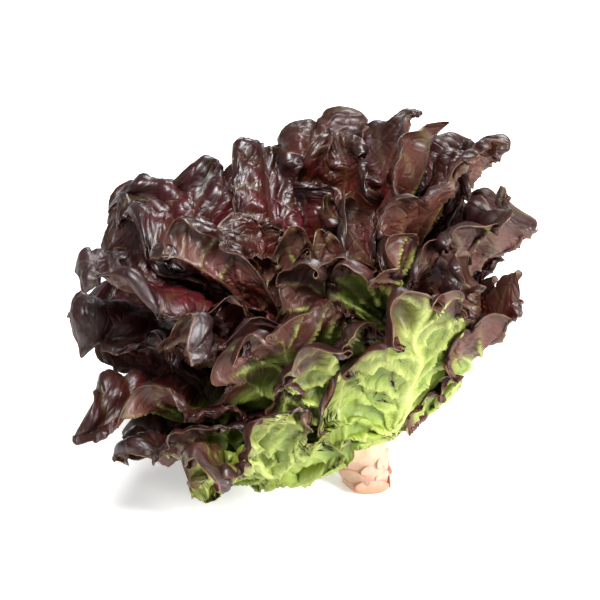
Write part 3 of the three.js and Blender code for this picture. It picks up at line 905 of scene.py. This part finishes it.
class LETTUCE_OT_inner_leaves(bpy.types.Operator):
    """Makes the dark glossy leaves round the heart"""
    bl_idname = "lettuce.inner_leaves"
    bl_label = "Inner Leaves"

    def execute(self, context):
        make_leaves(context, "inner_leaf")
        return {"FINISHED"}


class LETTUCE_OT_heart_leaves(bpy.types.Operator):
    """Makes the small pale leaves of the heart"""
    bl_idname = "lettuce.heart_leaves"
    bl_label = "Heart Leaves"

    def execute(self, context):
        make_leaves(context, "heart_leaf")
        return {"FINISHED"}


def stem_rings():
    """Height and radius of the stem's rings, from the foot up."""
    rings = [(0.0, FOOT_RADIUS - FOOT_BEVEL), (0.5, FOOT_RADIUS - 1.0), (FOOT_BEVEL, FOOT_RADIUS - 0.3)]
    for i in range(1, 41):
        z = FOOT_BEVEL + (LOWEST_LEAF - FOOT_BEVEL) * i / 40
        rings.append((z, FOOT_RADIUS + (STEM_RADIUS - FOOT_RADIUS) * min(1, z / (LOWEST_LEAF * 0.6))))
    for i in range(1, 15):
        layer = 1 - i / 14
        rings.append((base_height(layer), float(stem_radius(layer))))
    rings.append((CROWN_HEIGHT + 0.7 * DOME_HEIGHT, 0.6 * float(stem_radius(0))))
    return rings


def stand(points, height):
    """Leans points of the stem and keeps its cut flat on the table."""
    back = math.radians(LEAN_BACK)
    first = math.radians(LEAN_LEFT)
    axis = np.array([-math.sin(first), math.cos(first) * math.sin(back), math.cos(first) * math.cos(back)])
    placed = lean(points)
    lift = np.maximum(0, 1 - height / LOWEST_LEAF) * (height * axis[2] - placed[..., 2]) / axis[2]
    return placed + lift[..., None] * axis + SHIFT


def stem_mesh(name, sides=120):
    """The solid stem with shallow grooves and dents in its skin."""
    rings = stem_rings()
    turn = np.arange(sides) * TURN / sides
    rng = np.random.default_rng(11)
    dents = [(rng.uniform(0, TURN), rng.uniform(3, 33), rng.uniform(0.6, 1.8), rng.uniform(0.2, 0.5))
             for _ in range(26)]
    points = []
    for height, radius in rings:
        r = radius + 0.35 * np.sin(3 * turn + height / 7) + 0.25 * np.sin(8 * turn - height / 4)
        for at, level, depth, wide in dents:
            off = (turn - at + math.pi) % TURN - math.pi
            r = r - depth * np.exp(-(off / wide) ** 2 - ((height - level) / 3.2) ** 2)
        points.append(np.stack([r * np.cos(turn), r * np.sin(turn), np.full(sides, height)], -1))
    points = np.concatenate(points + [[[0, 0, 0.3], [0, 0, CROWN_HEIGHT + DOME_HEIGHT]]])
    foot, tip, last = len(points) - 2, len(points) - 1, (len(rings) - 1) * sides
    faces = []
    for i in range(sides):
        j = (i + 1) % sides
        faces += [(ring + i, ring + j, ring + j + sides, ring + i + sides) for ring in range(0, last, sides)]
        faces += [(foot, j, i), (last + i, last + j, tip)]
    mesh = bpy.data.meshes.new(name)
    mesh.from_pydata(points.tolist(), [], faces)
    return plant(mesh)


def plant(mesh):
    """Takes a mesh drawn in millimetres round an upright stem to its place in the leaning head."""
    points = np.empty(len(mesh.vertices) * 3, np.float32)
    mesh.vertices.foreach_get("co", points)
    points = points.reshape(-1, 3).astype(float)
    put_attribute(mesh, "height", points[:, 2])
    put_attribute(mesh, "radius", np.hypot(points[:, 0], points[:, 1]))
    placed = stand(points, points[:, 2]) * MM
    placed[:, 2] = np.maximum(placed[:, 2], 0)
    mesh.vertices.foreach_set("co", placed.ravel().astype(np.float32))
    mesh.update()
    mesh.shade_smooth()
    return mesh


def scar_tree():
    """Leaf scars: flattened lips on a golden-angle spiral round an upright stem, in millimetres."""
    tree = bpy.data.node_groups.new("leaf_scars", "GeometryNodeTree")
    sockets = (("Scars", "NodeSocketInt"), ("Lowest", "NodeSocketFloat"), ("Rise", "NodeSocketFloat"),
               ("Radius", "NodeSocketFloat"), ("Width", "NodeSocketFloat"), ("Height", "NodeSocketFloat"),
               ("Swell", "NodeSocketFloat"), ("Tilt", "NodeSocketFloat"), ("Seed", "NodeSocketInt"),
               ("Material", "NodeSocketMaterial"))
    for label, kind in sockets:
        tree.interface.new_socket(name=label, in_out="INPUT", socket_type=kind)
    tree.interface.new_socket(name="Geometry", in_out="OUTPUT", socket_type="NodeSocketGeometry")
    gn = Wiring(tree)
    entry = tree.nodes.new("NodeGroupInput")
    given = {label: Wire(tree, entry.outputs[label]) for label, _ in sockets}
    index = gn.node("GeometryNodeInputIndex")

    def chance(low, high, number):
        return gn.node("FunctionNodeRandomValue", {"data_type": "FLOAT"}, output=1, Min=low, Max=high,
                       ID=index, Seed=given["Seed"] + number)

    turn = index * math.radians(GOLDEN_ANGLE) + chance(-0.25, 0.25, 0)
    height = given["Lowest"] + index * given["Rise"] + chance(-0.8, 0.8, 1)
    cosine = gn.node("ShaderNodeMath", {"operation": "COSINE"}, Value=turn)
    sine = gn.node("ShaderNodeMath", {"operation": "SINE"}, Value=turn)
    spots = gn.node("GeometryNodeMeshLine", Count=given["Scars"])
    spots = gn.node("GeometryNodeSetPosition", Geometry=spots,
                    Position=gn.vector(cosine * given["Radius"], sine * given["Radius"], height))
    lip = gn.node("GeometryNodeMeshUVSphere", Segments=36, Rings=18, Radius=1.0)
    local = gn.node("ShaderNodeSeparateXYZ", Vector=gn.node("GeometryNodeInputPosition"))
    across, up = Wire(tree, local.socket.node.outputs[1]), Wire(tree, local.socket.node.outputs[2])
    lip = gn.node("GeometryNodeStoreNamedAttribute", {"data_type": "FLOAT", "domain": "POINT"}, Geometry=lip,
                  Name="lip", Value=(across * across + up * up) ** 4.0)
    lip = gn.node("GeometryNodeTransform", Geometry=lip, Rotation=gn.vector(0.0, given["Tilt"], 0.0),
                  Scale=gn.vector(given["Swell"], given["Width"], given["Height"]))
    made = gn.node("GeometryNodeInstanceOnPoints", Points=spots, Instance=lip,
                   Rotation=gn.vector(chance(-0.25, 0.25, 2), chance(-0.08, 0.08, 3), turn),
                   Scale=gn.vector(chance(0.8, 1.2, 4), chance(0.75, 1.3, 5), chance(0.75, 1.25, 6)))
    made = gn.node("GeometryNodeRealizeInstances", Geometry=made)
    made = gn.node("GeometryNodeSetMaterial", Geometry=made, Material=given["Material"])
    leave = tree.nodes.new("NodeGroupOutput")
    tree.links.new(made.socket, leave.inputs[0])
    return tree


def grown(name, tree, values):
    """Runs a geometry tree on an empty object and keeps the mesh that it makes."""
    carrier = add_object(name + "_carrier", bpy.data.meshes.new(name + "_carrier"))
    modifier = carrier.modifiers.new("grow", "NODES")
    modifier.node_group = tree
    for item in tree.interface.items_tree:
        if item.in_out == "INPUT":
            modifier[item.identifier] = values[item.name]
    graph = bpy.context.evaluated_depsgraph_get()
    mesh = bpy.data.meshes.new_from_object(carrier.evaluated_get(graph))
    carrier.modifiers.remove(modifier)
    bpy.data.objects.remove(carrier)
    mesh.name = name
    return mesh


def stem_material(name, look):
    """Moist cream skin, pinker in patches and at the scars' lips, with a dried brown cut."""
    sh = Shader(name)
    place = sh.node("ShaderNodeTexCoord", output=3)
    height, radius, lip = sh.mark("height"), sh.mark("radius"), sh.mark("lip")
    soft = sh.noise(place, 70, 4, 0.6, dimensions="3D")
    stretched = sh.node("ShaderNodeMapping", Vector=place, Scale=(1.0, 1.0, 0.25))
    streak = sh.noise(stretched, 420, 4, 0.6, dimensions="3D")
    fine = sh.noise(place, 900, 3, 0.6, dimensions="3D")
    colour = sh.mix(((soft - 0.36) * 2.6).clamped(), tuple(look.cream), tuple(look.pink))
    colour = sh.mix(((streak - 0.45) * 1.6).clamped(), colour, tuple(look.straw))
    colour = sh.mix(((lip - 0.25) * (0.4 + soft) * 1.5).clamped(), colour, tuple(look.lip))
    colour = sh.mix(((height - 20) / 24 * 0.7).clamped(), colour, tuple(look.young))
    colour = sh.mix(((7 - height + (soft - 0.5) * 16) * 0.12).clamped(), colour, tuple(look.dried))
    wound = (1.4 - height).clamped()
    cut = sh.mix(((soft + fine - 0.75) * 1.3).clamped(), tuple(look.cut), tuple(look.dried))
    cut = sh.mix(((radius - FOOT_RADIUS * 0.62) * 0.5).clamped(), cut, tuple(look.lip))
    colour = sh.mix(wound, colour, cut)
    bump = sh.node("ShaderNodeBump", Strength=0.55, Distance=0.0008, Height=streak + fine * 0.4 + soft)
    shader = sh.node("ShaderNodeBsdfPrincipled", Base_Color=colour, Normal=bump, IOR=1.45, Coat_Weight=0.15,
                     Roughness=(0.4 + (streak - 0.5) * 0.3).clamped(), Coat_Roughness=0.3,
                     Subsurface_Weight=0.3, Subsurface_Radius=(1.0, 0.6, 0.35), Subsurface_Scale=0.003)
    return sh.finish(shader)


class LETTUCE_OT_stem(bpy.types.Operator):
    """Makes the cut stem and the leaf scars round it"""
    bl_idname = "lettuce.stem"
    bl_label = "Stem"

    def execute(self, context):
        look = context.scene.stem_look
        skin = stem_material("stem_skin", look)
        body = stem_mesh("stem_butt")
        put_attribute(body, "lip", np.zeros(len(body.vertices)))
        body.materials.append(skin)
        values = {"Scars": look.scars, "Lowest": look.lowest, "Rise": look.rise, "Radius": FOOT_RADIUS - 0.6,
                  "Width": look.scar_width / 2, "Height": look.scar_height / 2, "Swell": look.swell,
                  "Tilt": look.tilt, "Seed": look.seed, "Material": skin}
        scars = plant(grown("stem_scars", scar_tree(), values))
        for mesh in (body, scars):
            piece = add_object(mesh.name, mesh)
            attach(piece, "root")
            if mesh is body:
                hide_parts("stem")
        return {"FINISHED"}


class LETTUCE_OT_stage(bpy.types.Operator):
    """Makes the floor, the lights and the camera"""
    bl_idname = "lettuce.stage"
    bl_label = "Stage"

    def execute(self, context):
        look = context.scene.stage_look
        make_floor(tuple(look.floor))
        make_lights(context)
        make_camera(context, look)
        return {"FINISHED"}


def make_floor(colour):
    mesh = bpy.data.meshes.new("floor")
    size = 6.0
    mesh.from_pydata([(-size, -size, 0), (size, -size, 0), (size, size, 0), (-size, size, 0)], [], [(0, 1, 2, 3)])
    sh = Shader("floor")
    mesh.materials.append(sh.finish(sh.node("ShaderNodeBsdfPrincipled", Base_Color=(*colour, 1), Roughness=0.6,
                                            Specular_IOR_Level=0.2, Emission_Color=(1, 1, 1, 1),
                                            Emission_Strength=0.4)))
    add_object("floor", mesh)


def make_lights(context):
    world = bpy.data.worlds.new("studio")
    context.scene.world = world
    context.scene.view_settings.view_transform = "Standard"
    world.use_nodes = True
    background = world.node_tree.nodes["Background"]
    background.inputs["Color"].default_value = (1, 1, 1, 1)
    background.inputs["Strength"].default_value = 0.25
    aim = Vector((0, 0, 0.11))
    for name, spot, size, power in (("key", (-0.15, -0.5, 1.15), 0.45, 21),
                                    ("fill", (1.0, -0.75, 0.65), 0.45, 28),
                                    ("back", (0.3, 0.9, 0.9), 0.5, 9)):
        light = bpy.data.lights.new(name, "AREA")
        light.size, light.energy = size, power
        lamp = bpy.data.objects.new(name, light)
        lamp.location = spot
        lamp.rotation_euler = (aim - Vector(spot)).to_track_quat("-Z", "Y").to_euler()
        context.scene.collection.objects.link(lamp)


def make_camera(context, look):
    """Looks along +Y and down, so that the stem's foot stands right of and below the middle."""
    data = bpy.data.cameras.new("camera")
    data.lens, data.sensor_width = look.lens, 36
    camera = bpy.data.objects.new("camera", data)
    context.scene.collection.objects.link(camera)
    forward = Vector((0, math.cos(look.elevation), -math.sin(look.elevation)))
    up = Vector((0, math.sin(look.elevation), math.cos(look.elevation)))
    foot = Vector(SHIFT * MM)
    target = foot + Vector((-0.177 * look.width * 0.62, 0, 0)) + up * (0.303 * look.width)
    camera.location = target - forward * (look.width * look.lens / 36)
    camera.rotation_mode = "QUATERNION"
    camera.rotation_quaternion = forward.to_track_quat("-Z", "Y")
    data.clip_start = 0.05
    context.scene.camera = camera


class LETTUCE_PT_panel(bpy.types.Panel):
    """Lists the pieces of the head"""
    bl_label = "Lettuce"
    bl_idname = "LETTUCE_PT_panel"
    bl_space_type = "VIEW_3D"
    bl_region_type = "UI"
    bl_category = "Lettuce"

    def draw(self, context):
        column = self.layout.column()
        for operator in OPERATORS:
            column.operator(operator.bl_idname)
        for group in ("leaf_shape", "leaf_colours", "stem_look", "stage_look"):
            settings = getattr(context.scene, group)
            for key in settings.bl_rna.properties.keys():
                if key not in ("rna_type", "name"):
                    column.prop(settings, key)


OPERATORS = (LETTUCE_OT_stage, LETTUCE_OT_stem, LETTUCE_OT_outer_leaves, LETTUCE_OT_middle_leaves,
             LETTUCE_OT_inner_leaves, LETTUCE_OT_heart_leaves)
GROUPS = {"leaf_shape": LeafShape, "leaf_colours": LeafColours,
          "stem_look": StemLook, "stage_look": StageLook}


def register():
    for cls in (*GROUPS.values(), *OPERATORS, LETTUCE_PT_panel):
        bpy.utils.register_class(cls)
    for name, group in GROUPS.items():
        setattr(bpy.types.Scene, name, bpy.props.PointerProperty(type=group))


def unregister():
    for name in GROUPS:
        delattr(bpy.types.Scene, name)
    for cls in reversed((*GROUPS.values(), *OPERATORS, LETTUCE_PT_panel)):
        bpy.utils.unregister_class(cls)


def main():
    register()
    bpy.ops.lettuce.stage()
    bpy.ops.lettuce.stem()
    bpy.ops.lettuce.outer_leaves()
    bpy.ops.lettuce.middle_leaves()
    bpy.ops.lettuce.inner_leaves()
    bpy.ops.lettuce.heart_leaves()
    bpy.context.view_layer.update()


if __name__ == "__main__":
    main()
